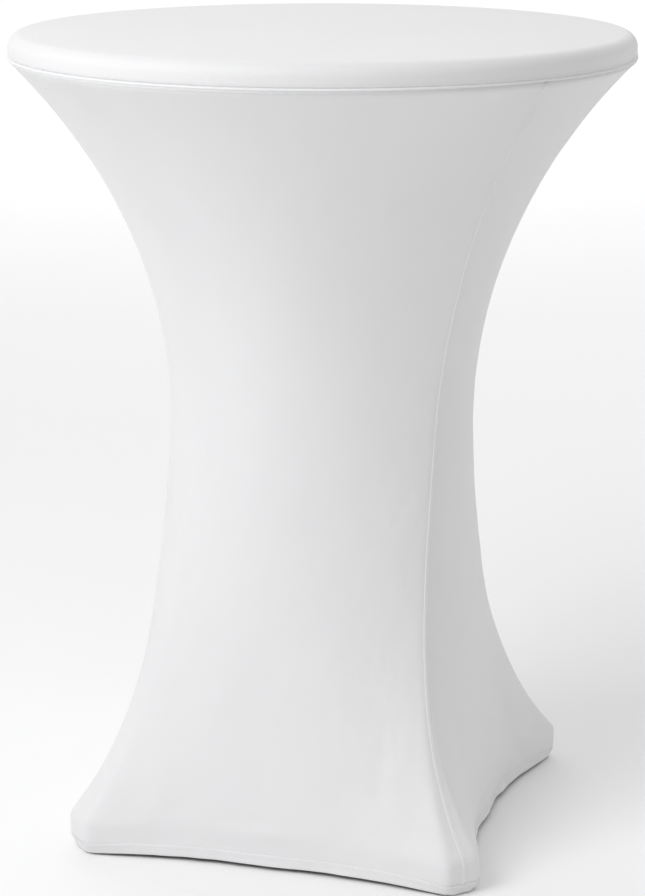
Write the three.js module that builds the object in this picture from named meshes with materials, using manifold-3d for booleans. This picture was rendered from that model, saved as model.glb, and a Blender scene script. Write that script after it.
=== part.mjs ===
// Stretch cover on a round bar table.
//
// A white elastic cover is pulled over a pedestal table: a round top panel, a skirt of two halves
// joined by a seam above two opposite feet, a hem along each half, and a sewn pocket that each
// foot stands in. Inside is the table that shapes it: a board on a steel cross, a column held by
// a tie rod, two base plates with four arms, and a levelling glide under each arm.
//
// Millimetres, +Z up. The origin is on the floor, on the column's axis. The arms lie on the
// diagonals, so the side between two feet faces -Y.

import * as THREE from 'three';
import { mergeVertices } from 'three/addons/utils/BufferGeometryUtils.js';
import Module from 'manifold-3d';

const wasm = await Module();
wasm.setup();

// ---------------------------------------------------------------- driving sizes

const boardDiameter = 836;      // wooden top with its edge band
const boardThickness = 28;
const tableHeight = 1098;       // floor to the board's upper face
const edgeBandThickness = 19;   // moulded safety edge
const edgeRadius = 16;          // its rounding, no more than its thickness

const clothThickness = 1.7;     // stretched cover
const touch = 0.3;              // gap between pieces that touch

const waistRadiusAtSeam = 231;
const waistRadiusAtPanel = 209;
const waistHeight = 570;
const coverTwist = 12;          // degrees that the cover's upper half is turned against the feet
const twistBottom = 140;        // heights between which it turns
const twistTop = 650;
const hemBow = 32;              // how far the hem pulls in between two feet
const cornerSharpness = 3.2;    // how quickly a panel falls back from its corners near the floor
const hemLift = 5;              // floor to the hem
const hemHeight = 15;

// How the skirt swells away from the waist. The flare is the share of the swell that comes late,
// so that the cloth turns out more sharply near the board and above the feet.
const aboveWaist = { power: 2, flare: 0.13, flarePower: 4.2 };
const seamBelowWaist = { power: 2.3, flare: 0.14, flarePower: 11 };
const panelBelowWaist = { power: 1.6, flare: 0, flarePower: 11 };

const seamWidth = 6;
const seamRise = 0.7;           // how far seams and hems stand proud
const rimSeamHeight = 3;
const rimSeamDepth = 2;
const seamRidgeHalfWidth = 5;   // width of the skirt's ridge along a seam, from the waist up
const plainRidgeHalfWidth = 16; // the same above a foot that has no seam
const plainRidgeFade = 330;     // heights between which that ridge fades into the round waist
const plainRidgeEnd = 740;

const armReach = 380;           // axis to the end of an arm's cap
const armWidth = 40;
const armHeight = 25;
const armWall = 2;
const armRounding = 3;
const armBottom = 22;           // floor to the arm's lower face
const armInnerEnd = 26;
const capLength = 8;
const capPlugLength = 15;
const capRounding = 6;

const pocketLength = 58;
const pocketWallHeight = 42;
const pocketClearance = 0.8;    // pocket to arm
const skirtClearance = 1;       // skirt to pocket

const glideInset = 35;          // end of the arm to the glide's axis
const glidePadInset = 2;        // side of the arm to the glide's pad
const glidePadHeight = 9;
const padShoulder = 4;
const glideTravel = 8;          // how far a glide screws in
const studRadius = 5;
const bushRadius = 7.7;
const bushFlangeRadius = 11;
const bushFlangeHeight = 1.5;
const bushHeight = 12;

const plateRadius = 100;
const plateThickness = 5;
const boltCircle = 70;
const boltRadius = 4;
const boltHeadRadius = 7;
const boltHeadHeight = 5;

const columnRadius = 38;
const columnWall = 2;
const collarHeight = 25;
const rosetteRadius = 108;
const rosetteHeight = 40;
const rosetteWall = 1.5;

const crossLength = 320;
const crossWidth = 45;
const crossThickness = 5;
const screwCircle = 140;
const screwRadius = 2.4;
const screwLength = 24;
const screwHeadRadius = 5.5;
const screwHeadHeight = 3.2;

const rodRadius = 5;
const threadClearance = 0.3;
const boreClearance = 0.6;
const washerRadius = 12;
const washerThickness = 2;
const nutAcrossFlats = 17;
const nutHeight = 8;
const rodEnd = 2;               // rod left beyond each nut

const roundSteps = 64;          // facets round the table top
const middleSteps = 32;         // round the column and plates
const smallSteps = 12;          // round bolts and glides
const skirtSteps = 17;          // up the skirt, the same for panels and seams, so that they meet

// ---------------------------------------------------------------- heights and radii that follow

const boardBottom = tableHeight - boardThickness;
const boardRadius = boardDiameter / 2;
const coverRadius = boardRadius + touch + clothThickness;
const coverTop = tableHeight + touch + clothThickness;
const rimRadius = edgeRadius + touch + clothThickness;
const skirtTop = boardBottom - touch - rimSeamHeight - touch - touch;

const armTop = armBottom + armHeight;
const tubeEnd = armReach - capLength - touch;
const pocketHalfWidth = armWidth / 2 + pocketClearance + clothThickness;
const pocketTip = armReach + pocketClearance + clothThickness;
const footRadius = pocketTip + skirtClearance + clothThickness;
const footHalfWidth = pocketHalfWidth + skirtClearance + clothThickness;
const footHeight = armTop + 2;
const hemRadiusAtPanel = (footRadius + footHalfWidth) * Math.SQRT1_2 - hemBow;
const glideRadius = armReach - glideInset;
const glidePadRadius = armWidth / 2 - glidePadInset;

const lowerPlateTop = armBottom - touch;
const lowerPlateBottom = lowerPlateTop - plateThickness;
const upperPlateBottom = armTop + touch;
const upperPlateTop = upperPlateBottom + plateThickness;
const columnBottom = upperPlateTop + touch;
const crossTop = boardBottom - touch;
const crossBottom = crossTop - crossThickness;
const columnTop = crossBottom - touch;
const collarRadius = columnRadius - columnWall - touch;
const lowerNutTop = lowerPlateBottom - touch - washerThickness - touch;
const upperNutBottom = crossTop + touch + washerThickness + touch;
const rodBottom = lowerNutTop - nutHeight - rodEnd;
const rodTop = upperNutBottom + nutHeight + rodEnd;

const feet = [
  { place: 'front_right', azimuth: -Math.PI / 4 },
  { place: 'back_right', azimuth: Math.PI / 4 },
  { place: 'back_left', azimuth: 3 * Math.PI / 4 },
  { place: 'front_left', azimuth: 5 * Math.PI / 4 },
];

// The two seams, each with the half of the skirt that follows it anticlockwise.
const seams = [
  { place: 'front_right', half: 'back_right', azimuth: -Math.PI / 4 },
  { place: 'back_left', half: 'front_left', azimuth: 3 * Math.PI / 4 },
];

// ---------------------------------------------------------------- materials

function finish(color, roughness, metalness) {
  return () => new THREE.MeshStandardMaterial({ color, roughness, metalness });
}

const whiteCloth = finish(0xf4f4f5, 0.85, 0);
const whiteSeam = finish(0xeeeeef, 0.9, 0);
const laminate = finish(0xdedbd4, 0.5, 0);
const edgePlastic = finish(0xb9bcc0, 0.45, 0);
const coatedSteel = finish(0x8d9196, 0.45, 0.6);
const brightSteel = finish(0xb8bbbf, 0.3, 1);
const blackPlastic = finish(0x1d1e20, 0.6, 0);

// ---------------------------------------------------------------- solids

// A closed geometry as a manifold solid, for joining and cutting.
function toSolid(geometry) {
  const bare = geometry.clone();
  bare.deleteAttribute('normal');
  bare.deleteAttribute('uv');
  const merged = mergeVertices(bare, 1e-4);
  return new wasm.Manifold(new wasm.Mesh({
    numProp: 3,
    vertProperties: new Float32Array(merged.attributes.position.array),
    triVerts: new Uint32Array(merged.index.array),
  }));
}

function toGeometry(solid) {
  const mesh = solid.getMesh();
  const geometry = new THREE.BufferGeometry();
  geometry.setAttribute('position', new THREE.BufferAttribute(mesh.vertProperties, 3));
  geometry.setIndex(new THREE.BufferAttribute(mesh.triVerts, 1));
  geometry.computeVertexNormals();
  return geometry;
}

function cut(geometry, ...tools) {
  return toGeometry(tools.reduce((solid, tool) => solid.subtract(toSolid(tool)), toSolid(geometry)));
}

function join(first, second) {
  return toGeometry(toSolid(first).add(toSolid(second)));
}

// A profile of [radius, height] pairs turned about the Z axis.
function turned(profile, steps) {
  const points = profile.map(([radius, height]) => new THREE.Vector2(radius, height));
  return new THREE.LatheGeometry(points, steps).rotateX(Math.PI / 2);
}

// The same for a ring: the profile closes on itself.
function ring(inner, outer, bottom, top, steps) {
  return turned([[inner, bottom], [outer, bottom], [outer, top], [inner, top], [inner, bottom]], steps);
}

function disc(radius, bottom, top, steps) {
  return turned([[0, bottom], [radius, bottom], [radius, top], [0, top]], steps);
}

function rod(radius, bottom, top, x = 0) {
  const height = top - bottom;
  return new THREE.CylinderGeometry(radius, radius, height, smallSteps)
    .rotateX(Math.PI / 2)
    .translate(x, 0, bottom + height / 2);
}

// A flat outline in X and Y, raised from bottom to top.
function raised(shape, bottom, top, curveSegments = 8) {
  return new THREE.ExtrudeGeometry(shape, { depth: top - bottom, bevelEnabled: false, curveSegments })
    .translate(0, 0, bottom);
}

function roundedRectangle(Outline, width, height, radius) {
  const x = width / 2;
  const y = height / 2;
  const outline = new Outline();
  outline.moveTo(x, y - radius);
  outline.absarc(x - radius, y - radius, radius, 0, Math.PI / 2);
  outline.absarc(-x + radius, y - radius, radius, Math.PI / 2, Math.PI);
  outline.absarc(-x + radius, -y + radius, radius, Math.PI, 1.5 * Math.PI);
  outline.absarc(x - radius, -y + radius, radius, 1.5 * Math.PI, 2 * Math.PI);
  return outline;
}

// A plan outline along +X with a square inner end and rounded corners at its tip.
function tongue(inner, tip, halfWidth, radius) {
  const outline = new THREE.Shape();
  outline.moveTo(inner, -halfWidth);
  outline.lineTo(tip - radius, -halfWidth);
  outline.absarc(tip - radius, -halfWidth + radius, radius, -Math.PI / 2, 0);
  outline.absarc(tip - radius, halfWidth - radius, radius, 0, Math.PI / 2);
  outline.lineTo(inner, halfWidth);
  outline.closePath();
  return outline;
}

// ---------------------------------------------------------------- shape of the skirt

// A radius that swells from the waist up to the board and down to the floor.
function rise(z, waist, top, bottom, below) {
  const upper = z >= waistHeight;
  const height = upper ? skirtTop - waistHeight : waistHeight - footHeight;
  const way = Math.min(Math.abs(z - waistHeight) / height, 1);
  const { power, flare, flarePower } = upper ? aboveWaist : below;
  const swell = (1 - flare) * way ** power + flare * way ** flarePower;
  return waist + ((upper ? top : bottom) - waist) * swell;
}

function seamRadiusAt(z) {
  return rise(z, waistRadiusAtSeam, coverRadius, footRadius, seamBelowWaist);
}

function panelRadiusAt(z) {
  return rise(z, waistRadiusAtPanel, coverRadius, hemRadiusAtPanel, panelBelowWaist);
}

function twistAt(z) {
  return THREE.MathUtils.degToRad(coverTwist) * THREE.MathUtils.smoothstep(z, twistBottom, twistTop);
}

// The ridge above a foot: its radius, its half angle and how round its sides are. A seam keeps its
// ridge up to the board, and a plain ridge fades at the waist.
function ridgeAt(z, seamed) {
  const fade = seamed ? 0 : THREE.MathUtils.smoothstep(z, plainRidgeFade, plainRidgeEnd);
  const radius = THREE.MathUtils.lerp(seamRadiusAt(z), panelRadiusAt(z), fade);
  const narrowing = THREE.MathUtils.smoothstep(z, footHeight, waistHeight);
  const halfWidth = THREE.MathUtils.lerp(
    footHalfWidth,
    seamed ? seamRidgeHalfWidth : plainRidgeHalfWidth,
    narrowing,
  );
  return { radius, corner: Math.atan(halfWidth / radius), roundness: seamed ? narrowing / 4 : narrowing };
}

// Radius of the skirt's outer face at an azimuth away from a seam. A flat stands above each foot,
// and from its edge the cloth pulls in towards the middle between two feet.
function skirtRadius(offset, z) {
  const foot = Math.round(offset / (Math.PI / 2));
  const beside = Math.abs(offset - foot * Math.PI / 2);
  const atPanel = panelRadiusAt(z);
  const { radius, corner, roundness } = ridgeAt(z, foot % 2 === 0);
  if (beside <= corner) return radius / Math.cos(beside);
  const along = (beside - corner) / (Math.PI / 4 - corner);
  const straight = (1 - along) ** cornerSharpness;
  const round = (1 + Math.cos(Math.PI * along)) / 2;
  const share = THREE.MathUtils.lerp(straight, round, roundness);
  return atPanel + (radius / Math.cos(corner) - atPanel) * share;
}

// Azimuth away from a seam for a step along half the skirt, from one seam over a foot to the other.
// From the seam's edge or the middle of the foot it steps to the corner, and then evenly on.
function halfOffset(step, lastStep, z) {
  const quarter = lastStep / 2;
  const fromSeam = Math.min(step, lastStep - step);
  const fromFoot = Math.min(fromSeam, quarter - fromSeam);
  const seamed = fromSeam <= quarter / 2;
  const { radius, corner } = ridgeAt(z, seamed);
  const first = seamed ? (seamWidth / 2 + touch) / radius : 0;
  const later = corner + (Math.PI / 4 - corner) * (fromFoot - 1) / (quarter / 2 - 1);
  const beside = fromFoot === 0 ? first : later;
  const offset = seamed ? beside : Math.PI / 2 - beside;
  return step <= quarter ? offset : Math.PI - offset;
}

// Height of a step up the skirt: upright beside the foot in the first step, then evenly on.
function heightAt(step, lastStep, bottom, top) {
  if (lastStep === 1) return step === 0 ? bottom : top;
  return step === 0 ? bottom : THREE.MathUtils.lerp(footHeight, top, (step - 1) / (lastStep - 1));
}

// A thin box bent onto the skirt: X becomes its thickness, Y runs round it and Z up it.
function bentShell(aroundSteps, upSteps, offsetAt, bottom, top, inside, outside) {
  const geometry = new THREE.BoxGeometry(1, 1, 1, 1, aroundSteps, upSteps).translate(0.5, 0.5, 0.5);
  const position = geometry.attributes.position;
  for (let i = 0; i < position.count; i += 1) {
    const z = heightAt(Math.round(position.getZ(i) * upSteps), upSteps, bottom, top);
    const step = Math.round(position.getY(i) * aroundSteps);
    const offset = offsetAt(step, aroundSteps, z);
    const radius = skirtRadius(offset, z) + THREE.MathUtils.lerp(inside, outside, position.getX(i));
    const azimuth = offset + twistAt(z);
    position.setXYZ(i, radius * Math.cos(azimuth), radius * Math.sin(azimuth), z);
  }
  return geometry;
}

// ---------------------------------------------------------------- cover

function coverTopPanel() {
  const wallBottom = boardBottom - touch;
  const inner = coverRadius - clothThickness;
  const innerTop = coverTop - clothThickness;
  const bend = (from, to, radius) => [1, 2, 3].map((step) => {
    const angle = THREE.MathUtils.lerp(from, to, step / 3);
    return [
      coverRadius - rimRadius + radius * Math.cos(angle),
      coverTop - rimRadius + radius * Math.sin(angle),
    ];
  });
  return turned([
    [0, innerTop],
    [coverRadius - rimRadius, innerTop],
    ...bend(Math.PI / 2, 0, rimRadius - clothThickness),
    [inner, wallBottom],
    [coverRadius, wallBottom],
    [coverRadius, coverTop - rimRadius],
    ...bend(0, Math.PI / 2, rimRadius),
    [0, coverTop],
  ], roundSteps);
}

function coverRimSeam() {
  const top = boardBottom - touch - touch;
  const inner = coverRadius - clothThickness - rimSeamDepth;
  return ring(inner, coverRadius, top - rimSeamHeight, top, roundSteps);
}

function skirtHalf() {
  return bentShell(24, skirtSteps, halfOffset, hemLift + hemHeight + touch, skirtTop, -clothThickness, 0);
}

function skirtHem() {
  return bentShell(24, 1, halfOffset, hemLift, hemLift + hemHeight, -clothThickness, seamRise);
}

function skirtSeam() {
  const across = (step, lastStep, z) => (step / lastStep - 0.5) * seamWidth / seamRadiusAt(z);
  return bentShell(2, skirtSteps, across, hemLift, skirtTop, -clothThickness, seamRise);
}

function footPocket() {
  const inner = pocketTip - pocketLength;
  const rounding = capRounding + pocketClearance;
  const outline = tongue(inner, pocketTip, pocketHalfWidth, rounding + clothThickness);
  const hollow = tongue(inner - 1, pocketTip - clothThickness, pocketHalfWidth - clothThickness, rounding);
  return cut(
    raised(outline, 0, pocketWallHeight, 4),
    raised(hollow, clothThickness, pocketWallHeight + 1, 4),
  );
}

// ---------------------------------------------------------------- table top

function tableTopBoard() {
  const radius = boardRadius - edgeBandThickness - touch;
  const board = disc(radius, boardBottom, tableHeight, roundSteps);
  const recess = rod(washerRadius + 2, boardBottom - 1, rodTop + 2);
  const pilotTop = crossBottom + screwLength + 1;
  const pilots = feet.map(({ azimuth }) => (
    rod(screwRadius + threadClearance, boardBottom - 1, pilotTop, screwCircle).rotateZ(azimuth)
  ));
  return cut(board, recess, ...pilots);
}

function topEdgeBand() {
  const inner = boardRadius - edgeBandThickness;
  const round = [0, 1, 2].map((step) => {
    const angle = step * Math.PI / 6;
    return [
      boardRadius - edgeRadius + edgeRadius * Math.cos(angle),
      tableHeight - edgeRadius + edgeRadius * Math.sin(angle),
    ];
  });
  return turned([
    [inner, boardBottom],
    [boardRadius, boardBottom],
    ...round,
    [inner, tableHeight],
    [inner, boardBottom],
  ], roundSteps);
}

// Two flat bars welded across each other, with a threaded hole for the tie rod.
function topCross() {
  const bar = new THREE.BoxGeometry(crossLength, crossWidth, crossThickness)
    .translate(0, 0, crossBottom + crossThickness / 2);
  const otherBar = bar.clone().rotateZ(Math.PI / 2);
  const centre = rod(rodRadius + threadClearance, crossBottom - 1, crossTop + 1);
  const hole = rod(screwRadius + boreClearance, crossBottom - 1, crossTop + 1, screwCircle);
  const holes = feet.map((foot, index) => hole.clone().rotateZ(index * Math.PI / 2));
  return cut(join(bar, otherBar), centre, ...holes);
}

function topScrew() {
  const seat = crossBottom - touch;
  const head = rod(screwHeadRadius, seat - screwHeadHeight, seat, screwCircle);
  const shank = rod(screwRadius, seat - screwHeadHeight / 2, crossBottom + screwLength, screwCircle);
  return join(head, shank);
}

// ---------------------------------------------------------------- column and tie rod

function columnTube() {
  return ring(columnRadius - columnWall, columnRadius, columnBottom, columnTop, middleSteps);
}

function columnCollar(bottom) {
  return ring(rodRadius + boreClearance, collarRadius, bottom, bottom + collarHeight, middleSteps);
}

function tieRod() {
  return rod(rodRadius, rodBottom, rodTop);
}

function washer(bottom) {
  return ring(rodRadius + boreClearance, washerRadius, bottom, bottom + washerThickness, smallSteps);
}

function hexNut(bottom) {
  const across = nutAcrossFlats / Math.sqrt(3);
  const outline = new THREE.Shape();
  for (let side = 0; side < 6; side += 1) {
    const angle = side * Math.PI / 3;
    const draw = side === 0 ? 'moveTo' : 'lineTo';
    outline[draw](across * Math.cos(angle), across * Math.sin(angle));
  }
  outline.closePath();
  const hole = new THREE.Path();
  hole.absarc(0, 0, rodRadius + threadClearance, 0, 2 * Math.PI);
  outline.holes.push(hole);
  return raised(outline, bottom, bottom + nutHeight);
}

// A spun cover over the bolts at the foot of the column.
function columnRosette() {
  const bottom = armTop + 2 * touch;
  const sweep = (centre, reach, height) => [0, 1, 2, 3, 4].map((step) => {
    const angle = step * Math.PI / 8;
    return [centre + reach * Math.cos(angle), bottom + height * Math.sin(angle)];
  });
  const hole = columnRadius + boreClearance;
  const outside = sweep(hole + rosetteWall, rosetteRadius - hole - rosetteWall, rosetteHeight);
  const inside = sweep(hole, rosetteRadius - rosetteWall - hole, rosetteHeight - rosetteWall).reverse();
  return turned([...outside, ...inside, outside[0]], middleSteps);
}

// ---------------------------------------------------------------- base

function basePlate(bottom, boltClearance) {
  const top = bottom + plateThickness;
  const plate = disc(plateRadius, bottom, top, middleSteps);
  const centre = rod(rodRadius + boreClearance, bottom - 1, top + 1);
  const holes = feet.map(({ azimuth }) => (
    rod(boltRadius + boltClearance, bottom - 1, top + 1, boltCircle).rotateZ(azimuth)
  ));
  return cut(plate, centre, ...holes);
}

function baseArm() {
  const section = roundedRectangle(THREE.Shape, armWidth, armHeight, armRounding);
  const boreWidth = armWidth - 2 * armWall;
  const boreHeight = armHeight - 2 * armWall;
  section.holes.push(roundedRectangle(THREE.Path, boreWidth, boreHeight, armRounding - armWall));
  const tube = new THREE.ExtrudeGeometry(section, {
    depth: tubeEnd - armInnerEnd, bevelEnabled: false, curveSegments: 2,
  });
  tube.rotateX(Math.PI / 2).rotateZ(Math.PI / 2).translate(armInnerEnd, 0, armBottom + armHeight / 2);
  const boltHole = rod(boltRadius + boreClearance, armBottom - 1, armTop + 1, boltCircle);
  const glideHole = rod(bushRadius + touch, armBottom - 1, armBottom + armWall + 1, glideRadius);
  return cut(tube, boltHole, glideHole);
}

function armBolt() {
  const seat = upperPlateTop + touch;
  const head = rod(boltHeadRadius, seat, seat + boltHeadHeight, boltCircle);
  const shank = rod(boltRadius, lowerPlateBottom - 2, seat + boltHeadHeight / 2, boltCircle);
  return join(head, shank);
}

function armEndCap() {
  const outline = tongue(armReach - capLength, armReach, armWidth / 2, capRounding);
  const flange = raised(outline, armBottom, armTop, 4);
  const plugWidth = armWidth - 2 * armWall - 2 * touch;
  const plugHeight = armHeight - 2 * armWall - 2 * touch;
  const plug = new THREE.BoxGeometry(capPlugLength + capLength / 2, plugWidth, plugHeight)
    .translate(armReach - capLength * 3 / 4 - capPlugLength / 2, 0, armBottom + armHeight / 2);
  return join(flange, plug);
}

function glideBush() {
  const flangeTop = armBottom - touch;
  const flangeBottom = flangeTop - bushFlangeHeight;
  const hole = studRadius + threadClearance;
  return turned([
    [hole, flangeBottom],
    [bushFlangeRadius, flangeBottom],
    [bushFlangeRadius, flangeTop],
    [bushRadius, flangeTop],
    [bushRadius, flangeTop + bushHeight],
    [hole, flangeTop + bushHeight],
    [hole, flangeBottom],
  ], smallSteps).translate(glideRadius, 0, 0);
}

function levellingGlide() {
  const bottom = clothThickness + touch;
  const top = bottom + glidePadHeight;
  const studTop = armTop - armWall - touch - glideTravel;
  return turned([
    [0, bottom],
    [glidePadRadius, bottom],
    [glidePadRadius, top - padShoulder],
    [glidePadRadius - padShoulder, top],
    [studRadius, top],
    [studRadius, studTop],
    [0, studTop],
  ], smallSteps).translate(glideRadius, 0, 0);
}

// ---------------------------------------------------------------- assembly

const group = new THREE.Group();

function add(name, geometry, material, azimuth = 0) {
  const mesh = new THREE.Mesh(geometry, material());
  mesh.name = name;
  mesh.rotation.z = azimuth;
  group.add(mesh);
}

add('cover_top_panel', coverTopPanel(), whiteCloth);
add('cover_rim_seam', coverRimSeam(), whiteSeam);
seams.forEach(({ place, half, azimuth }) => {
  add(`skirt_${half}`, skirtHalf(), whiteCloth, azimuth);
  add(`hem_${half}`, skirtHem(), whiteSeam, azimuth);
  add(`skirt_seam_${place}`, skirtSeam(), whiteSeam, azimuth);
});
feet.forEach(({ place, azimuth }) => {
  add(`foot_pocket_${place}`, footPocket(), whiteCloth, azimuth);
});

add('table_top_board', tableTopBoard(), laminate);
add('top_edge_band', topEdgeBand(), edgePlastic);
add('top_cross', topCross(), coatedSteel, Math.PI / 4);

add('column_tube', columnTube(), coatedSteel);
add('column_upper_collar', columnCollar(columnTop - collarHeight), coatedSteel);
add('column_lower_collar', columnCollar(columnBottom), coatedSteel);
add('column_rosette', columnRosette(), brightSteel);
add('tie_rod', tieRod(), brightSteel);
add('tie_rod_upper_washer', washer(crossTop + touch), brightSteel);
add('tie_rod_upper_nut', hexNut(upperNutBottom), brightSteel);
add('tie_rod_lower_washer', washer(lowerNutTop + touch), brightSteel);
add('tie_rod_lower_nut', hexNut(lowerNutTop - nutHeight), brightSteel);

add('base_plate_upper', basePlate(upperPlateBottom, boreClearance), coatedSteel);
add('base_plate_lower', basePlate(lowerPlateBottom, threadClearance), coatedSteel);
feet.forEach(({ place, azimuth }) => {
  add(`top_screw_${place}`, topScrew(), brightSteel, azimuth);
  add(`base_arm_${place}`, baseArm(), coatedSteel, azimuth);
  add(`arm_bolt_${place}`, armBolt(), brightSteel, azimuth);
  add(`arm_end_cap_${place}`, armEndCap(), blackPlastic, azimuth);
  add(`glide_bush_${place}`, glideBush(), brightSteel, azimuth);
  add(`levelling_glide_${place}`, levellingGlide(), blackPlastic, azimuth);
});

export default group;
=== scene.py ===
import math

import bmesh
import bpy
from mathutils import Matrix, Vector


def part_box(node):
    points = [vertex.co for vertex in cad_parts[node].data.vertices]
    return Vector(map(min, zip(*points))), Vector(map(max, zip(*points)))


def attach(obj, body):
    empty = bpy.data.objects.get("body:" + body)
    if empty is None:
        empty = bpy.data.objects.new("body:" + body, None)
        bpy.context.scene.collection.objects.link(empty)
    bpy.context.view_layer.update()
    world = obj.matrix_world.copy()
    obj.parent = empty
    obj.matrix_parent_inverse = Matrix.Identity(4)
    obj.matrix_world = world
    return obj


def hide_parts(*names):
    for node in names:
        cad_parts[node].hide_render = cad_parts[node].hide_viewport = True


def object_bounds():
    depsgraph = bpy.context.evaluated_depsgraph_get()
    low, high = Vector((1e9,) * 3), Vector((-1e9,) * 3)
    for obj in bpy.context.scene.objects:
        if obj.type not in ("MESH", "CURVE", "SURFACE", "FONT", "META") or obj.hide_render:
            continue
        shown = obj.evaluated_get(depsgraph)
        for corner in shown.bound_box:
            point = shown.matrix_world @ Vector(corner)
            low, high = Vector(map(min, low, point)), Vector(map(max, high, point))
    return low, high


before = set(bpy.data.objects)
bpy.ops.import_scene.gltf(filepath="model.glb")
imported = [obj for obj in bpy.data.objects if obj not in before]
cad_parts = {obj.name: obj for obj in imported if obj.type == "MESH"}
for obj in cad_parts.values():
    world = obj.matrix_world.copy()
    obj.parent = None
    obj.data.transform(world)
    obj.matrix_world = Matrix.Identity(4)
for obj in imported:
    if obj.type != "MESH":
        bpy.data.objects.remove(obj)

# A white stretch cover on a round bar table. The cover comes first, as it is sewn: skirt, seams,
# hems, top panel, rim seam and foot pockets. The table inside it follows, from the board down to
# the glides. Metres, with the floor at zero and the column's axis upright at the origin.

cad_low, cad_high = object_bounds()

# ------------------------------------------------------------------ camera, floor and light
# The table is seen from a little above its top, with one foot towards the front right. It stands
# on a plain white floor, lit by a wide key from the left, two weak panels and one over the backdrop.

camera_azimuth = math.radians(16.1)
camera_distance = 3.505
camera_height = 1.435
camera_pitch = math.radians(14.54)

camera_data = bpy.data.cameras.new("camera")
camera_data.sensor_width = 36
camera_data.lens = 104.5
camera_data.shift_y = -0.0035
camera = bpy.data.objects.new("camera", camera_data)
camera.location = (
    camera_distance * math.sin(camera_azimuth),
    -camera_distance * math.cos(camera_azimuth),
    camera_height,
)
camera.rotation_euler = (math.pi / 2 - camera_pitch, 0, camera_azimuth)
bpy.context.scene.collection.objects.link(camera)
bpy.context.scene.camera = camera
bpy.context.scene.view_settings.view_transform = "Standard"


def panel_light(name, azimuth, height, distance, size, energy, onto=(0, 0.55)):
    """A soft round panel. Azimuth is from the camera, to the right, and onto is the distance on that
    azimuth and the height of the point it shines at."""
    data = bpy.data.lights.new(name, "AREA")
    data.shape = "DISK"
    data.size = size
    data.energy = energy
    light = bpy.data.objects.new(name, data)
    around = camera_azimuth + math.radians(azimuth)
    way = Vector((math.sin(around), -math.cos(around), 0))
    light.location = distance * way + Vector((0, 0, height))
    aim = onto[0] * way + Vector((0, 0, onto[1])) - light.location
    light.rotation_euler = aim.to_track_quat("-Z", "Y").to_euler()
    bpy.context.scene.collection.objects.link(light)


panel_light("key_panel", azimuth=-52, height=3.1, distance=3.0, size=2.6, energy=76)
panel_light("top_panel", azimuth=-20, height=4.0, distance=0.6, size=3.0, energy=3)
panel_light("right_panel", azimuth=120, height=1.6, distance=3.4, size=2.4, energy=9)
panel_light("backdrop_panel", azimuth=180, height=5.0, distance=10, size=13, energy=420, onto=(10, 0))

world = bpy.data.worlds.new("studio")
world.use_nodes = True
world.node_tree.nodes["Background"].inputs["Color"].default_value = (1.0, 1.0, 1.0, 1.0)
world.node_tree.nodes["Background"].inputs["Strength"].default_value = 0.57
bpy.context.scene.world = world

floor_shape = bmesh.new()
bmesh.ops.create_grid(floor_shape, x_segments=1, y_segments=1, size=14)
floor_mesh = bpy.data.meshes.new("studio_floor")
floor_shape.to_mesh(floor_mesh)
floor = bpy.data.objects.new("studio_floor", floor_mesh)
floor.location.z = -0.0004
bpy.context.scene.collection.objects.link(floor)
floor_paint = bpy.data.materials.new("studio_floor")
floor_paint.use_nodes = True
floor_paint.node_tree.nodes["Principled BSDF"].inputs["Base Color"].default_value = (0.93, 0.93, 0.93, 1)
floor_paint.node_tree.nodes["Principled BSDF"].inputs["Roughness"].default_value = 0.9
floor_paint.node_tree.nodes["Principled BSDF"].inputs["Specular IOR Level"].default_value = 0.0
floor_mesh.materials.append(floor_paint)

# ------------------------------------------------------------------ stretch cloth
# The cover is a warp knit of polyester and elastane, bright white and a little silky. Its loops
# stand in upright wales that spread where the cloth is stretched over the board and the feet.


def shader_group(name, inputs, outputs):
    """A node group with its sockets. Each input is (name, kind, default) and each output (name, kind)."""
    group = bpy.data.node_groups.new(name, "ShaderNodeTree")
    for label, kind, default in inputs:
        socket = group.interface.new_socket(label, in_out="INPUT", socket_type="NodeSocket" + kind)
        if default is not None:
            socket.default_value = default
    for label, kind in outputs:
        group.interface.new_socket(label, in_out="OUTPUT", socket_type="NodeSocket" + kind)
    return group, group.nodes.new("NodeGroupInput"), group.nodes.new("NodeGroupOutput")


def math_node(tree, operation, *values):
    """A Math node. A value that is a socket is linked, and a number is set."""
    node = tree.nodes.new("ShaderNodeMath")
    node.operation = operation
    for index, value in enumerate(values):
        if isinstance(value, bpy.types.NodeSocket):
            tree.links.new(value, node.inputs[index])
        else:
            node.inputs[index].default_value = value
    return node.outputs[0]


# Loops of a knit: each wale is a round rib, crossed by slanting courses that meet in its middle.
knit, knit_in, knit_out = shader_group(
    "knit",
    [("Vector", "Vector", None), ("Wales", "Float", 900.0), ("Courses", "Float", 900.0)],
    [("Height", "Float"), ("Gaps", "Float")],
)
knit_axes = knit.nodes.new("ShaderNodeSeparateXYZ")
knit.links.new(knit_in.outputs["Vector"], knit_axes.inputs[0])
wale = math_node(knit, "FRACT", math_node(knit, "MULTIPLY", knit_axes.outputs[0], knit_in.outputs["Wales"]))
rib = math_node(knit, "SINE", math_node(knit, "MULTIPLY", wale, math.pi))
slant = math_node(knit, "ABSOLUTE", math_node(knit, "SUBTRACT", wale, 0.5))
up_the_wale = math_node(knit, "MULTIPLY", knit_axes.outputs[1], knit_in.outputs["Courses"])
course = math_node(knit, "ADD", up_the_wale, slant)
loop = math_node(knit, "SINE", math_node(knit, "MULTIPLY", course, math.tau))
loop_height = math_node(knit, "MULTIPLY_ADD", loop, 0.25, 0.75)
knit_height = math_node(knit, "MULTIPLY", rib, loop_height)
knit.links.new(knit_height, knit_out.inputs["Height"])
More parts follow.
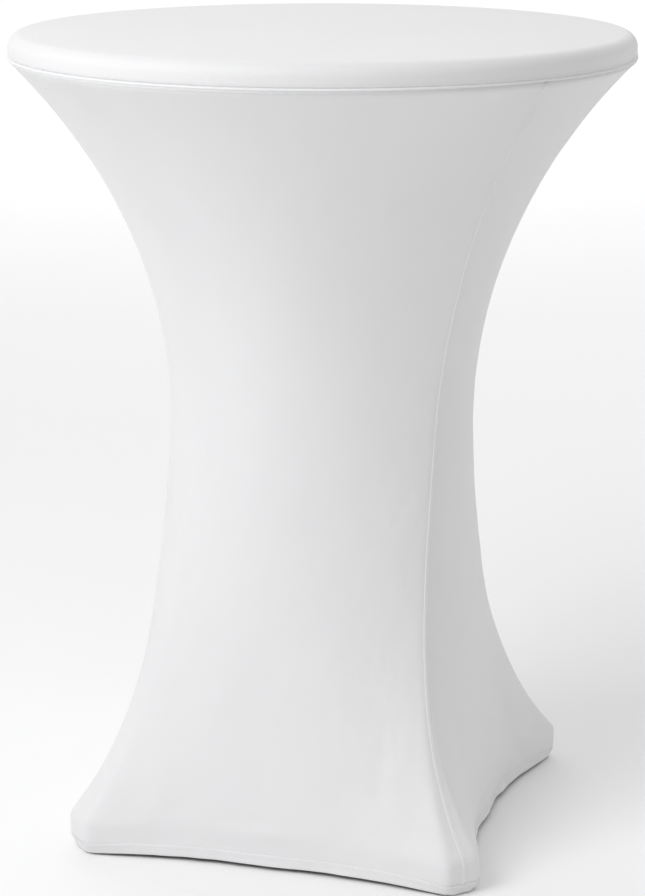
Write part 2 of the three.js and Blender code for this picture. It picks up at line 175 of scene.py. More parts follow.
# the lowest parts of the loops, the gaps between them, make the mask for painted shade
knit.links.new(math_node(knit, "LESS_THAN", knit_height, 0.3), knit_out.inputs["Gaps"])

# Slow unevenness of a dyed or coated surface, between a darker and a lighter colour.
mottle, mottle_in, mottle_out = shader_group(
    "mottle",
    [
        ("Vector", "Vector", None), ("Scale", "Float", 4.0),
        ("Dark", "Color", (0, 0, 0, 1)), ("Light", "Color", (1, 1, 1, 1)),
    ],
    [("Color", "Color"), ("Mask", "Float")],
)
mottle_noise = mottle.nodes.new("ShaderNodeTexNoise")
mottle_noise.inputs["Detail"].default_value = 4.0
mottle.links.new(mottle_in.outputs["Vector"], mottle_noise.inputs["Vector"])
mottle.links.new(mottle_in.outputs["Scale"], mottle_noise.inputs["Scale"])
mottle_mix = mottle.nodes.new("ShaderNodeMix")
mottle_mix.data_type = "RGBA"
mottle.links.new(mottle_noise.outputs["Fac"], mottle_mix.inputs["Factor"])
mottle.links.new(mottle_in.outputs["Dark"], mottle_mix.inputs["A"])
mottle.links.new(mottle_in.outputs["Light"], mottle_mix.inputs["B"])
mottle.links.new(mottle_mix.outputs["Result"], mottle_out.inputs["Color"])
mottle.links.new(mottle_noise.outputs["Fac"], mottle_out.inputs["Mask"])


def place_group(tree, group, **values):
    """A node group placed in a material, with its own values."""
    node = tree.nodes.new("ShaderNodeGroup")
    node.node_tree = group
    for label, value in values.items():
        if isinstance(value, bpy.types.NodeSocket):
            tree.links.new(value, node.inputs[label])
        else:
            node.inputs[label].default_value = value
    return node


def knit_material(name, dark, light, wales, courses, roughness, depth):
    """White knit on the piece's own cloth map, whose unit is one metre of cloth as it was cut."""
    material = bpy.data.materials.new(name)
    material.use_nodes = True
    tree = material.node_tree
    shader = tree.nodes["Principled BSDF"]
    cloth_map = tree.nodes.new("ShaderNodeUVMap")
    cloth_map.uv_map = "cloth"
    where = tree.nodes.new("ShaderNodeTexCoord")
    loops = place_group(tree, knit, Vector=cloth_map.outputs["UV"], Wales=wales, Courses=courses)
    tone = place_group(tree, mottle, Vector=where.outputs["Object"], Scale=5.0, Dark=dark, Light=light)
    # the gaps between the loops are multiplied darker: painted shade in the recesses of the knit
    shade = tree.nodes.new("ShaderNodeMix")
    shade.data_type = "RGBA"
    shade.blend_type = "MULTIPLY"
    shade.inputs["B"].default_value = (0.93, 0.93, 0.94, 1)
    tree.links.new(loops.outputs["Gaps"], shade.inputs["Factor"])
    tree.links.new(tone.outputs["Color"], shade.inputs["A"])
    tree.links.new(shade.outputs["Result"], shader.inputs["Base Color"])
    bump = tree.nodes.new("ShaderNodeBump")
    bump.inputs["Distance"].default_value = depth
    bump.inputs["Strength"].default_value = 0.35
    tree.links.new(loops.outputs["Height"], bump.inputs["Height"])
    tree.links.new(bump.outputs["Normal"], shader.inputs["Normal"])
    shader.inputs["Roughness"].default_value = roughness
    shader.inputs["Specular IOR Level"].default_value = 0.3
    shader.inputs["Sheen Weight"].default_value = 0.12
    shader.inputs["Sheen Roughness"].default_value = 0.45
    return material


cover_cloth = knit_material(
    "stretch_cloth", dark=(0.80, 0.80, 0.81, 1), light=(0.84, 0.84, 0.845, 1),
    wales=1100, courses=1300, roughness=0.62, depth=0.00022,
)

# ------------------------------------------------------------------ skirt
# Two halves of stretch cloth, cut narrow at the waist, run from the rim of the board to the floor.
# The sewn tube is pulled tight between the round rim and the four feet: it is laid near that shape
# and settled as cloth, with the rim and the feet held.

quarter_turn = math.pi / 2
gap = 0.0003
cloth_thickness = 0.0012
cover_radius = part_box("cover_rim_seam")[1].x
skirt_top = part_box("cover_rim_seam")[0].z - gap
foot_radius = 0.3852
foot_half_width = 0.0252
foot_height = 0.049
seam_ridge_half_width = 0.005
plain_ridge_half_width = 0.016
plain_ridge_fade = 0.330
plain_ridge_end = 0.740
waist_at_seam = 0.231
waist_at_panel = 0.209
waist_height = 0.570
# how far the hem bows in on the right, back, left and front sides
hem_bows = (0.044, 0.032, 0.032, 0.020)
hem_lift = 0.005
seam_crease = 0.010
seam_crease_width = 0.24
twist = math.radians(12)
twist_bottom = 0.140
twist_top = 0.650
corner_sharpness = 3.2
flare_above_waist = 0.13
tuck_height = 0.020
tuck_from = 0.345
foot_hold_height = 0.056
foot_hold_angle = 0.22
quarter_columns = 40
skirt_columns = 4 * quarter_columns
skirt_rows = 84
half_flat = (1.20, 1.02)
places = ["front_right", "back_right", "back_left", "front_left"]
foot_azimuths = {place: (index - 0.5) * quarter_turn for index, place in enumerate(places)}


def mix(a, b, share):
    return a + (b - a) * share


def smoothstep(x, low, high):
    share = min(max((x - low) / (high - low), 0), 1)
    return share * share * (3 - 2 * share)


def rise(z, waist, top, bottom, power, flare):
    """A radius that swells from the waist up to the board and down to the floor."""
    if z >= waist_height:
        way = (z - waist_height) / (skirt_top - waist_height)
        return mix(waist, top, (1 - flare_above_waist) * way ** 2 + flare_above_waist * way ** 4.2)
    way = min((waist_height - z) / (waist_height - foot_height), 1)
    return mix(waist, bottom, (1 - flare) * way ** power + flare * way ** 11)


def skirt_radius(beside, z, seamed, hem_bow):
    """Radius of the cloth at a height and an angle beside a foot, which has a seam or not."""
    hem_radius = (foot_radius + foot_half_width) * math.sqrt(0.5) - hem_bow
    at_seam = rise(z, waist_at_seam, cover_radius, foot_radius, power=2.3, flare=0.14)
    at_panel = rise(z, waist_at_panel, cover_radius, hem_radius, power=1.6, flare=0)
    narrowing = smoothstep(z, foot_height, waist_height)
    # the cloth draws together soon above the end of the foot
    pinch = 1 - (1 - min(max((z - foot_height) / (waist_height - foot_height), 0), 1)) ** 5
    if seamed:
        ridge = at_seam
        half_width = mix(foot_half_width, seam_ridge_half_width, pinch)
        roundness = narrowing / 4
    else:
        ridge = mix(at_seam, at_panel, smoothstep(z, plain_ridge_fade, plain_ridge_end))
        half_width = mix(foot_half_width, plain_ridge_half_width, pinch)
        roundness = narrowing
    corner = math.atan(half_width / ridge)
    if beside <= corner:
        return ridge / math.cos(beside) ** (1 - narrowing)
    along = (beside - corner) / (quarter_turn / 2 - corner)
    straight = (1 - along) ** corner_sharpness
    rounded = (1 + math.cos(math.pi * along)) / 2
    corner_radius = ridge / math.cos(corner) ** (1 - narrowing)
    return mix(at_panel, corner_radius, mix(straight, rounded, roundness))


def skirt_point(turn, z):
    """A point of the laid skirt. turn counts quarter turns from the front right foot."""
    foot = round(turn)
    beside = quarter_turn * (turn - foot)
    radius = skirt_radius(abs(beside), z, foot % 2 == 0, hem_bows[math.floor(turn) % 4])
    if foot % 2 == 0:
        # above the waist the tight seam pulls a crease up to the rim
        near = max(1 - abs(beside) / seam_crease_width, 0)
        upper = smoothstep(z, waist_height, 0.80) * (1 - smoothstep(z, 1.01, skirt_top))
        radius += seam_crease * near ** 2 * upper
    # the cloth tucks in under the end of the foot
    tuck = (1 - smoothstep(z, 0.0, tuck_height)) * (1 - smoothstep(abs(beside), 0.08, 0.24))
    along = radius * math.cos(beside)
    across = radius * math.sin(beside)
    along -= 0.2 * tuck * max(along - tuck_from, 0)
    across -= 0.1 * tuck * across
    azimuth = quarter_turn * (foot - 0.5) + twist * smoothstep(z, twist_bottom, twist_top)
    return Matrix.Rotation(azimuth, 3, "Z") @ Vector((along, across, z))


def laid(column, row):
    """The laid place of a column and row, closer together beside the feet and above the floor."""
    share = column / quarter_columns
    turn = share - 0.6 * math.sin(math.tau * share) / math.tau
    beside = quarter_turn * abs(turn - round(turn))
    bottom = mix(0.0025, hem_lift, smoothstep(beside, 0.06, 0.20))
    up = row / skirt_rows
    return skirt_point(turn, mix(bottom, skirt_top, 0.55 * up + 0.45 * up ** 2))


def bent_grid(columns, rows, place, map_size):
    """A cloth grid bent by place(column, row), with a map in metres of the cloth as it was cut."""
    shape = bmesh.new()
    cloth_map = shape.loops.layers.uv.new("cloth")
    column_of = shape.verts.layers.int.new("column")
    row_of = shape.verts.layers.int.new("row")
    bmesh.ops.create_grid(shape, x_segments=columns, y_segments=rows, size=0.5, calc_uvs=True)
    for face in shape.faces:
        for corner in face.loops:
            corner[cloth_map].uv.x *= map_size[0]
            corner[cloth_map].uv.y *= map_size[1]
    for vertex in shape.verts:
        vertex[column_of] = round((vertex.co.x + 0.5) * columns)
        vertex[row_of] = round((vertex.co.y + 0.5) * rows)
        vertex.co = place(vertex[column_of], vertex[row_of])
    bmesh.ops.remove_doubles(shape, verts=shape.verts, dist=1e-5)
    return shape


def add_piece(name, shape, material, slot=None, stands_for=(), body="table_and_cover"):
    """A smooth mesh as an object. With a slot it is a piece of the table and rides on one of its bodies."""
    mesh = bpy.data.meshes.new(name)
    for face in shape.faces:
        face.smooth = True
    shape.to_mesh(mesh)
    shape.free()
    mesh.materials.append(material)
    piece = bpy.data.objects.new(name, mesh)
    bpy.context.scene.collection.objects.link(piece)
    if slot:
        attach(piece, body)
    if stands_for:
        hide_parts(*stands_for)
    return piece


def finish_cloth(piece, thickness, levels=1):
    """Rounds a cloth piece and gives it its thickness, inwards from its outer face."""
    if levels:
        smoothing = piece.modifiers.new("smoothing", "SUBSURF")
        smoothing.levels = levels
        smoothing.render_levels = levels
    body = piece.modifiers.new("thickness", "SOLIDIFY")
    body.thickness = thickness
    body.offset = -1


def settle(piece, held, cut_place, frames):
    """Settles a stretched cloth. held(co) is how firmly a point is held, from 0 to 1, and
    cut_place(co) is its place in the cloth as it was cut."""
    group = piece.vertex_groups.new(name="held")
    for vertex in piece.data.vertices:
        group.add([vertex.index], held(vertex.co), "REPLACE")
    piece.shape_key_add(name="laid")
    cut = piece.shape_key_add(name="cut")
    for point in cut.data:
        point.co = cut_place(point.co)
    cloth = piece.modifiers.new("cloth", "CLOTH")
    cloth.settings.quality = 8
    cloth.settings.mass = 0.05
    cloth.settings.effector_weights.gravity = 0.1
    cloth.settings.tension_stiffness = 30
    cloth.settings.compression_stiffness = 5
    cloth.settings.shear_stiffness = 4
    cloth.settings.bending_stiffness = 0.05
    cloth.settings.air_damping = 4
    cloth.settings.vertex_group_mass = "held"
    cloth.settings.rest_shape_key = cut
    cloth.point_cache.frame_start = 1
    cloth.point_cache.frame_end = frames
    for frame_number in range(1, frames + 1):
        bpy.context.scene.frame_set(frame_number)
    seen = piece.evaluated_get(bpy.context.evaluated_depsgraph_get())
    settled = bpy.data.meshes.new_from_object(seen)
    bpy.context.scene.frame_set(1)
    return settled


def skirt_held(co):
    """The rim and the feet are held, and the rest is lightly held near its laid place."""
    turn = math.atan2(co.y, co.x) / quarter_turn + 0.5
    beside_foot = abs(turn - round(turn)) * quarter_turn
    if co.z > skirt_top - 0.002 or (co.z < foot_hold_height and beside_foot < foot_hold_angle):
        return 1.0
    # the overlocked seam stretches less than the cloth and keeps its line
    seam_turn = turn - twist * smoothstep(co.z, twist_bottom, twist_top) / quarter_turn
    beside_seam_turn = abs(seam_turn / 2 - round(seam_turn / 2)) * 2
    return mix(0.35, 0.05, smoothstep(beside_seam_turn, 0.0, 0.05))


def skirt_cut(co):
    """The cut tube is narrower and shorter than the space it is pulled over."""
    spread = smoothstep(co.z, waist_height, skirt_top)
    around = mix(1.06, 1.10, spread) - 0.06 * (1 - smoothstep(co.z, 0.0, 0.30))
    return Vector((co.x / around, co.y / around, co.z / mix(1.16, 1.12, spread)))


skirt_shape = bent_grid(skirt_columns, skirt_rows, laid, (2 * half_flat[0], half_flat[1]))
skirt = add_piece("skirt_laid", skirt_shape, cover_cloth)
settled_skirt = settle(skirt, skirt_held, skirt_cut, frames=30)
bpy.data.objects.remove(skirt)

skirt_points = {}
column_of = settled_skirt.attributes["column"].data
row_of = settled_skirt.attributes["row"].data
for vertex in settled_skirt.vertices:
    column = column_of[vertex.index].value % skirt_columns
    skirt_points[column, row_of[vertex.index].value] = vertex.co.copy()


def on_skirt(column, row):
    return skirt_points[column % skirt_columns, row]


def outward(column, row):
    """The way out of the skirt, square to the cloth."""
    around = on_skirt(column + 1, row) - on_skirt(column - 1, row)
    up = on_skirt(column, min(row + 1, skirt_rows)) - on_skirt(column, max(row - 1, 0))
    return around.cross(up).normalized()


def above_hem(column, height):
    """The point of the skirt at a height along the cloth above its lower edge."""
    row = 0
    while (on_skirt(column, row + 1) - on_skirt(column, row)).length < height:
        height -= (on_skirt(column, row + 1) - on_skirt(column, row)).length
        row += 1
    return on_skirt(column, row) + height * (on_skirt(column, row + 1) - on_skirt(column, row)).normalized()


# each half runs anticlockwise from the seam over one foot to the seam over the opposite foot
halves = {"back_right": 0, "front_left": 2 * quarter_columns}
for half, first_column in halves.items():
    shape = bmesh.new()
    shape.from_mesh(settled_skirt)
    cloth_map = shape.loops.layers.uv["cloth"]
    other_half = []
    for face in shape.faces:
        middle = sum(corner[cloth_map].uv.x for corner in face.loops) / len(face.loops)
        if (middle < half_flat[0]) != (first_column == 0):
            other_half.append(face)
    bmesh.ops.delete(shape, geom=other_half, context="FACES")
    piece = add_piece("skirt_cloth_" + half, shape, cover_cloth, "cover_cloth", ["skirt_" + half])
    finish_cloth(piece, cloth_thickness)

# ------------------------------------------------------------------ sewing thread
# Seams and hems are sewn with white polyester thread. Each stitch that shows is a short rounded
# bar, and the rows along one seam or hem are one piece.

thread_radius = 0.00034
stitch_length = 0.0029
stitch_pitch = 0.0041

thread_white = knit_material(
    "sewing_thread", dark=(0.84, 0.84, 0.85, 1), light=(0.89, 0.89, 0.895, 1),
    wales=2400, courses=600, roughness=0.5, depth=0.00008,
)
stitch_shape = bmesh.new()
stitch_map = stitch_shape.loops.layers.uv.new("cloth")
bmesh.ops.create_uvsphere(stitch_shape, u_segments=6, v_segments=4, radius=1)
for face in stitch_shape.faces:
    for corner in face.loops:
        corner[stitch_map].uv = corner.vert.co.xy * stitch_length
stitch_mesh = bpy.data.meshes.new("one_stitch")
stitch_shape.to_mesh(stitch_mesh)
stitch_shape.free()


def sew(name, rows):
    """Rows of stitches as one piece. Each row is a list of (point, outward) pairs to follow."""
    sewn = bmesh.new()
    for row in rows:
        walked = 0.0
        due = stitch_pitch / 2
        for (start, out), (end, _) in zip(row, row[1:]):
            step = (end - start).length
            forward = (end - start).normalized()
            aside = out.cross(forward).normalized()
            lift = forward.cross(aside)
            while due < walked + step:
                middle = start + forward * (due - walked) + lift * thread_radius * 0.4
                turn = Matrix((forward * stitch_length / 2, aside * thread_radius, lift * thread_radius))
                place = Matrix.Translation(middle) @ turn.transposed().to_4x4()
                stitch_mesh.transform(place)
                sewn.from_mesh(stitch_mesh)
                stitch_mesh.transform(place.inverted())
                due += stitch_pitch
            walked += step
    return add_piece(name, sewn, thread_white, "cover_seam")


# ------------------------------------------------------------------ skirt seams
# The halves are joined by an overlocked seam above two opposite feet. The folded edges make a
# narrow flat welt with a raised middle, topstitched on both sides.

seam_cloth = knit_material(
    "seam_cloth", dark=(0.82, 0.82, 0.83, 1), light=(0.86, 0.86, 0.865, 1),
    wales=1300, courses=1300, roughness=0.66, depth=0.0002,
)
seam_half_width = 0.003
stitch_beside_seam = 0.0018
welt_profile = [-0.0006, 0.0004, 0.0007, 0.0003, 0.0009, 0.0003, 0.0007, 0.0004, -0.0006]
hem_height = 0.015
hem_face = 0.0009


def beside_seam(column, row, distance):
    """A point of the skirt at a distance along the cloth to one side of a seam."""
    seam = on_skirt(column, row)
    neighbour = on_skirt(column + (1 if distance > 0 else -1), row)
    return seam + abs(distance) * (neighbour - seam).normalized()


for place, seam_column in (("front_right", 0), ("back_left", 2 * quarter_columns)):

    def over_hem(row):
        """How far the seam rises over the folded hem at its lower end."""
        height = (on_skirt(seam_column, row) - on_skirt(seam_column, 0)).length
        return hem_face * (1 - smoothstep(height, hem_height * 0.8, hem_height * 1.2))

    def welt_point(column, row):
        distance = mix(-seam_half_width, seam_half_width, column / (len(welt_profile) - 1))
        rise_here = welt_profile[column] + over_hem(row)
        return beside_seam(seam_column, row, distance) + rise_here * outward(seam_column, row)

    welt = bent_grid(len(welt_profile) - 1, skirt_rows, welt_point, (2 * seam_half_width, half_flat[1]))
    seam = add_piece("seam_welt_" + place, welt, seam_cloth, "cover_seam", ["skirt_seam_" + place])
    finish_cloth(seam, 0.0006)
    stitch_rows = []
    for distance in (-stitch_beside_seam, stitch_beside_seam):
        row_points = []
        for row in range(skirt_rows + 1):
            out = outward(seam_column, row)
            lift = 0.0006 + over_hem(row)
            row_points.append((beside_seam(seam_column, row, distance) + lift * out, out))
        stitch_rows.append(row_points)
    sew("seam_stitches_" + place, stitch_rows)

# ------------------------------------------------------------------ hem
# The lower edge of each half is folded up on both faces, 15 mm high, and held by a twin row of
# stitches. It hangs just clear of the floor between the feet, and dips under them.

hem_thickness = 0.0007
twin_rows = (0.0098, 0.0128)
# the fold from its outer top edge, round the lower edge of the skirt, to its inner top edge:
# how far out of the skirt's face, and how far up
hem_fold = [
    (0.0002, 0.0156), (0.0009, 0.0150), (0.0009, 0.0100), (0.0010, 0.0050), (0.0010, 0.0012),
    (0.0004, -0.0004), (-0.0006, -0.0008), (-0.0017, -0.0004), (-0.0021, 0.0012), (-0.0020, 0.0150),
]


def hem_point(column, out, up):
    """A point beside the lower edge of the skirt."""
    edge = above_hem(column, max(up, 0))
    if up < 0:
        edge = edge + up * (on_skirt(column, 1) - on_skirt(column, 0)).normalized()
    return edge + out * outward(column, 1)


for half, first_column in halves.items():
    columns = 2 * quarter_columns

    def folded(column, row):
        out, up = hem_fold[row]
        return hem_point(first_column + column, out, up)

    shape = bent_grid(columns, len(hem_fold) - 1, folded, (half_flat[0], 2 * hem_height))
    bmesh.ops.recalc_face_normals(shape, faces=shape.faces)
    hem = add_piece("hem_fold_" + half, shape, seam_cloth, "cover_seam", ["hem_" + half])
    finish_cloth(hem, hem_thickness)
    stitch_rows = []
    for height in twin_rows:
        row_points = []
        for column in range(first_column, first_column + columns + 1):
            row_points.append((hem_point(column, hem_face + 0.0001, height), outward(column, 1)))
        stitch_rows.append(row_points)
    sew("hem_stitches_" + half, stitch_rows)

# ------------------------------------------------------------------ top panel and rim seam
# A round panel of the same cloth lies tight on the board and turns down over its rounded edge. The
# skirt is sewn to it just below the board, in a welt with a row of stitches above and below it.

top_height = cad_high.z
rim_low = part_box("cover_top_panel")[0].z
round_steps = 192
edge_rounding = 0.018
edge_steps = 10
top_face_radius = cover_radius - 0.0007
# from the middle of the panel outwards, then down over the edge of the board
top_profile = [(0.0, top_height), (0.10, top_height), (0.20, top_height), (0.30, top_height)]
for step in range(edge_steps + 1):
    lean = quarter_turn * step / edge_steps
    radius = top_face_radius - edge_rounding * (1 - math.sin(lean))
    top_profile.append((radius, top_height - edge_rounding * (1 - math.cos(lean))))
top_profile += [
    (top_face_radius, rim_low + 0.006), (top_face_radius - 0.0003, rim_low + 0.002),
    (top_face_radius - 0.0010, rim_low),
]


def turned(profile, steps=round_steps):
    """A profile of (radius, height) points turned once about the upright axis."""
    shape = bmesh.new()
    points = [shape.verts.new((radius, 0, height)) for radius, height in profile]
    edges = [shape.edges.new(pair) for pair in zip(points, points[1:])]
    bmesh.ops.spin(
        shape, geom=points + edges, cent=(0, 0, 0), axis=(0, 0, 1), angle=math.tau,
        steps=steps, use_merge=True,
    )
    bmesh.ops.remove_doubles(shape, verts=shape.verts, dist=1e-6)
    bmesh.ops.recalc_face_normals(shape, faces=shape.faces)
    return shape


def map_from_above(shape):
    """A cloth map for a round piece: its own plan, in metres."""
    cloth_map = shape.loops.layers.uv.new("cloth")
    for face in shape.faces:
        for corner in face.loops:
            corner[cloth_map].uv = corner.vert.co.xy


top_shape = turned(top_profile)
if sum(face.normal.z for face in top_shape.faces) < 0:
    bmesh.ops.reverse_faces(top_shape, faces=top_shape.faces)
map_from_above(top_shape)
top_panel = add_piece("top_cloth", top_shape, cover_cloth, "cover_cloth", ["cover_top_panel"])
finish_cloth(top_panel, cloth_thickness, levels=0)

# the welt stands a little proud, with a groove on each side where the cloths are drawn in
welt_high = rim_low - gap
welt_low = skirt_top + gap
rim_profile = [
    (0.4168, welt_high + 0.0016), (0.4186, welt_high + 0.0008), (0.4190, welt_high),
    (0.4204, welt_high - 0.0006), (0.4207, mix(welt_low, welt_high, 0.5)), (0.4202, welt_low + 0.0004),
    (0.4186, welt_low - 0.0002), (0.4166, welt_low - 0.0010),
]
rim_shape = turned(rim_profile)
map_from_above(rim_shape)
if sum(face.normal.dot(face.calc_center_median().xy.to_3d()) for face in rim_shape.faces) < 0:
    bmesh.ops.reverse_faces(rim_shape, faces=rim_shape.faces)
rim_welt = add_piece("rim_welt", rim_shape, seam_cloth, "cover_seam", ["cover_rim_seam"])
finish_cloth(rim_welt, 0.0008)

rim_steps = 240
rim_stitches = []
for radius, height in ((0.4200, rim_low + 0.0028), (0.4182, skirt_top - 0.0022)):
    row_points = []
    for step in range(rim_steps + 1):
        out = Matrix.Rotation(math.tau * step / rim_steps, 3, "Z") @ Vector((1, 0, 0))
        row_points.append((radius * out + Vector((0, 0, height)), out))
    rim_stitches.append(sew("rim_stitches_%d" % (len(rim_stitches) + 1), [row_points]))

# ------------------------------------------------------------------ foot pockets
# Each foot of the table stands in a pocket of heavier doubled cloth, sewn into the corner of the
# skirt: a wall round the end of the foot, a flat sole under it and a bound upper edge.

# the pocket cloth is a little greyer than the cover: partly the heavier doubled cloth, partly painted shade
# of the underside of the feet
pocket_cloth = knit_material(
    "pocket_cloth", dark=(0.78, 0.78, 0.79, 1), light=(0.82, 0.82, 0.825, 1),
    wales=700, courses=800, roughness=0.75, depth=0.0003,
)
pocket_tip = 0.3825
pocket_inner_end = 0.3245
pocket_half_width = 0.0225
pocket_rounding = 0.0085
pocket_wall_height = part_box("foot_pocket_front_right")[1].z
pocket_thickness = 0.0012
pocket_columns = 44
# height, and how far in from the wall towards the middle line of the sole
pocket_profile = [
    (pocket_wall_height, 0.0), (0.034, 0.0), (0.024, 0.0), (0.014, 0.005), (0.008, 0.02),
    (0.004, 0.06), (0.0018, 0.10), (0.0006, 0.16), (0.0002, 0.28), (0.0002, 0.6), (0.0002, 1.0),
]


def pocket_outline(share):
    """Along a foot, the outline of its pocket: up one side, round the end and back."""
    side = pocket_tip - pocket_rounding - pocket_inner_end
    arc = pocket_rounding * math.pi / 2
    front = 2 * (pocket_half_width - pocket_rounding)
    way = abs(share - 0.5) * (2 * side + 2 * arc + front)
    mirror = 1 if share > 0.5 else -1
    if way < front / 2:
        return Vector((pocket_tip, mirror * way, 0))
    if way < front / 2 + arc:
        angle = (way - front / 2) / pocket_rounding
        along = pocket_tip - pocket_rounding + pocket_rounding * math.cos(angle)
        across = pocket_half_width - pocket_rounding + pocket_rounding * math.sin(angle)
        return Vector((along, mirror * across, 0))
    return Vector((pocket_tip - pocket_rounding - (way - front / 2 - arc), mirror * pocket_half_width, 0))


def pocket_point(column, row):
    height, inset = pocket_profile[row]
    wall = pocket_outline(column / pocket_columns)
    middle = Vector((min(wall.x, pocket_tip - pocket_half_width), 0, 0))
    return wall.lerp(middle, inset) + Vector((0, 0, height))


# the binding is folded over the upper edge of the wall
binding_fold = [
    (-0.0003, -0.0056), (0.0004, -0.0050), (0.0005, -0.0004),
    (-0.0006, 0.0004), (-0.0017, -0.0004), (-0.0016, -0.0050),
]


def binding_point(column, row):
    out, up = binding_fold[row]
    before = pocket_outline(max(column - 1, 0) / pocket_columns)
    after = pocket_outline(min(column + 1, pocket_columns) / pocket_columns)
    aside = (after - before).cross(Vector((0, 0, 1))).normalized()
    wall = pocket_outline(column / pocket_columns)
    return wall + out * aside + Vector((0, 0, pocket_wall_height + up))


for place, azimuth in foot_azimuths.items():
    turn = Matrix.Rotation(azimuth, 4, "Z")
    shape = bent_grid(pocket_columns, len(pocket_profile) - 1, pocket_point, (0.15, 0.07))
    bmesh.ops.recalc_face_normals(shape, faces=shape.faces)
    if sum(face.normal.z for face in shape.faces if face.calc_center_median().z < 0.001) > 0:
        bmesh.ops.reverse_faces(shape, faces=shape.faces)
    bmesh.ops.transform(shape, matrix=turn, verts=shape.verts)
    pocket = add_piece("pocket_cup_" + place, shape, pocket_cloth, "pocket_cloth", ["foot_pocket_" + place])
    finish_cloth(pocket, pocket_thickness)
    bound = bent_grid(pocket_columns, len(binding_fold) - 1, binding_point, (0.15, 0.012))
    bmesh.ops.transform(bound, matrix=turn, verts=bound.verts)
    binding = add_piece("pocket_binding_" + place, bound, seam_cloth, "cover_seam")
    finish_cloth(binding, 0.0004)
    stitches = []
    for column in range(pocket_columns + 1):
        here = binding_point(column, 1) + Vector((0, 0, 0.0012))
        aside = here - binding_point(column, 4)
        aside.z = 0
        stitches.append((turn @ here, turn.to_3x3() @ aside.normalized()))
    pocket_thread = sew("pocket_stitches_" + place, [stitches])

# ------------------------------------------------------------------ table top
# The board is particle board under a pale satin laminate, and the moulded grey edge is pressed on
# round it. Both are hidden by the cover, and carry its top panel.


def hard_material(name, dark, light, metallic, roughness, scale, stretch, depth):
    """A hard surface with uneven colour, roughness and relief. Stretch draws its grain out along an axis."""
    material = bpy.data.materials.new(name)
    material.use_nodes = True
    tree = material.node_tree
    shader = tree.nodes["Principled BSDF"]
    where = tree.nodes.new("ShaderNodeTexCoord")
    drawn = tree.nodes.new("ShaderNodeMapping")
    drawn.inputs["Scale"].default_value = stretch
    tree.links.new(where.outputs["Object"], drawn.inputs["Vector"])
    tone = place_group(
        tree, mottle, Vector=drawn.outputs["Vector"], Scale=scale, Dark=dark, Light=light,
    )
    tree.links.new(tone.outputs["Color"], shader.inputs["Base Color"])
    rough = tree.nodes.new("ShaderNodeMapRange")
    rough.inputs["To Min"].default_value = roughness - 0.08
    rough.inputs["To Max"].default_value = roughness + 0.08
    tree.links.new(tone.outputs["Mask"], rough.inputs["Value"])
    tree.links.new(rough.outputs["Result"], shader.inputs["Roughness"])
    relief = place_group(
        tree, mottle, Vector=drawn.outputs["Vector"], Scale=scale * 12, Dark=dark, Light=light,
    )
    bump = tree.nodes.new("ShaderNodeBump")
    bump.inputs["Distance"].default_value = depth
    bump.inputs["Strength"].default_value = 0.4
    tree.links.new(relief.outputs["Mask"], bump.inputs["Height"])
    tree.links.new(bump.outputs["Normal"], shader.inputs["Normal"])
    shader.inputs["Metallic"].default_value = metallic
    return material


def surface(material, *nodes):
    """Puts a material on the nodes whose shape stays as it is."""
    for node in nodes:
        bpy.data.objects[node].material_slots[0].material = material


board_laminate = hard_material(
    "board_laminate", dark=(0.72, 0.70, 0.64, 1), light=(0.80, 0.78, 0.73, 1),
    metallic=0, roughness=0.42, scale=18, stretch=(1, 9, 9), depth=0.00006,
)
edge_plastic = hard_material(
    "edge_plastic", dark=(0.44, 0.45, 0.47, 1), light=(0.52, 0.53, 0.55, 1),
    metallic=0, roughness=0.5, scale=40, stretch=(1, 1, 1), depth=0.00005,
)
surface(board_laminate, "table_top_board")
surface(edge_plastic, "top_edge_band")

# ------------------------------------------------------------------ column, cross and base
# Steel tube and plate with a grey powder coat, whose fine orange peel and speckle show close up. The
# cross under the board is screwed to it, and the arms are bolted between the two base plates.

powder_coat = hard_material(
    "powder_coat", dark=(0.24, 0.25, 0.27, 1), light=(0.32, 0.33, 0.35, 1),
    metallic=0, roughness=0.45, scale=60, stretch=(1, 1, 1), depth=0.00008,
)
surface(
    powder_coat, "top_cross", "column_upper_collar", "column_lower_collar",
    "base_plate_upper", "base_plate_lower", *["base_arm_" + place for place in places],
)

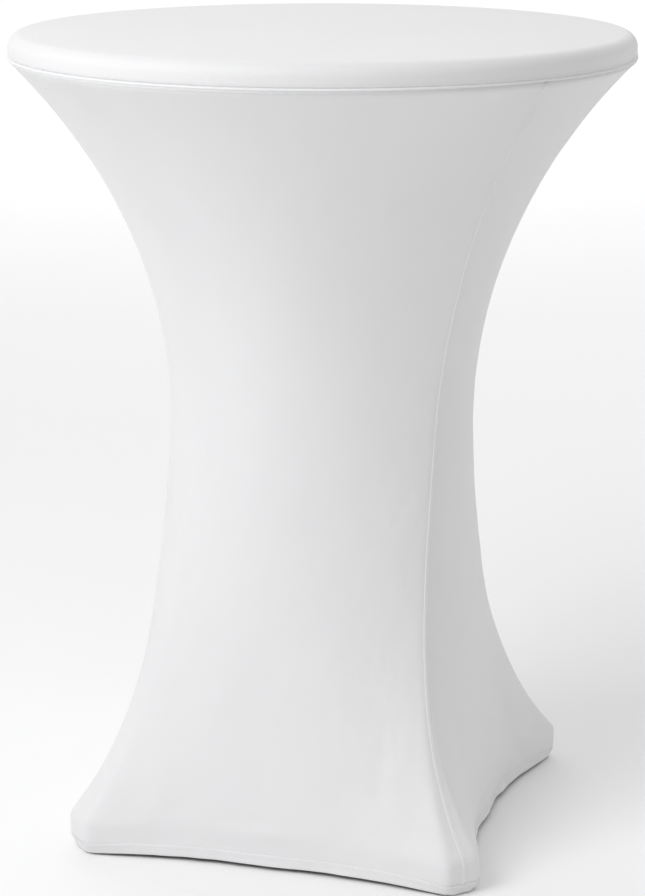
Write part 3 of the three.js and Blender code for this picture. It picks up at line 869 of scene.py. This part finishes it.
column_wall = 0.002
column_low, column_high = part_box("column_tube")
column_radius = column_high.x
column_shape = turned([
    (column_radius - column_wall, column_low.z), (column_radius, column_low.z),
    (column_radius, column_high.z), (column_radius - column_wall, column_high.z),
    (column_radius - column_wall, column_low.z),
], steps=64)
column = add_piece("column", column_shape, powder_coat, "coated_steel", ["column_tube"])
for edge_face in column.data.polygons:
    edge_face.use_smooth = abs(edge_face.normal.z) < 0.5

# ------------------------------------------------------------------ rod, nuts, screws and bushes
# One zinc plated rod runs down the column and clamps the cross and the base to it. Plated screws,
# bolts and threaded bushes hold the rest. Plating is a thin bright coat over drawn or pressed steel.

zinc_plate = hard_material(
    "zinc_plate", dark=(0.52, 0.53, 0.56, 1), light=(0.68, 0.69, 0.71, 1),
    metallic=1, roughness=0.3, scale=50, stretch=(6, 6, 1), depth=0.00003,
)

# the rosette is spun from thin sheet, and slides down the column to cover the base plates
rosette_low, rosette_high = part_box("column_rosette")
rosette_wall = 0.0015
rosette_hole = column_radius + 0.0003
rosette_outside = []
rosette_inside = []
for step in range(13):
    lean = quarter_turn * step / 12
    reach = rosette_high.x - rosette_hole - rosette_wall
    height = rosette_high.z - rosette_low.z
    rosette_outside.append((
        rosette_hole + rosette_wall + reach * math.sin(lean), rosette_low.z + height * math.cos(lean),
    ))
    rosette_inside.append((
        rosette_hole + (reach - 0.0003) * math.sin(lean),
        rosette_low.z + (height - rosette_wall) * math.cos(lean),
    ))
rosette_profile = rosette_outside + rosette_inside[::-1]
rosette = add_piece(
    "rosette", turned(rosette_profile + rosette_profile[:1], steps=96), zinc_plate,
    "bright_steel", ["column_rosette"],
)
surface(
    zinc_plate, "tie_rod", "tie_rod_upper_washer", "tie_rod_upper_nut", "tie_rod_lower_washer",
    "tie_rod_lower_nut", *["top_screw_" + place for place in places],
    *["arm_bolt_" + place for place in places], *["glide_bush_" + place for place in places],
)

# ------------------------------------------------------------------ end caps and glides
# Moulded black nylon with a fine spark texture: the caps that close the arms, and the glides that
# turn in the bushes and carry the table.

black_nylon = hard_material(
    "black_nylon", dark=(0.022, 0.022, 0.024, 1), light=(0.04, 0.04, 0.044, 1),
    metallic=0, roughness=0.55, scale=90, stretch=(1, 1, 1), depth=0.00006,
)
surface(black_nylon, *["arm_end_cap_" + place for place in places])
surface(black_nylon, *["levelling_glide_" + place for place in places])
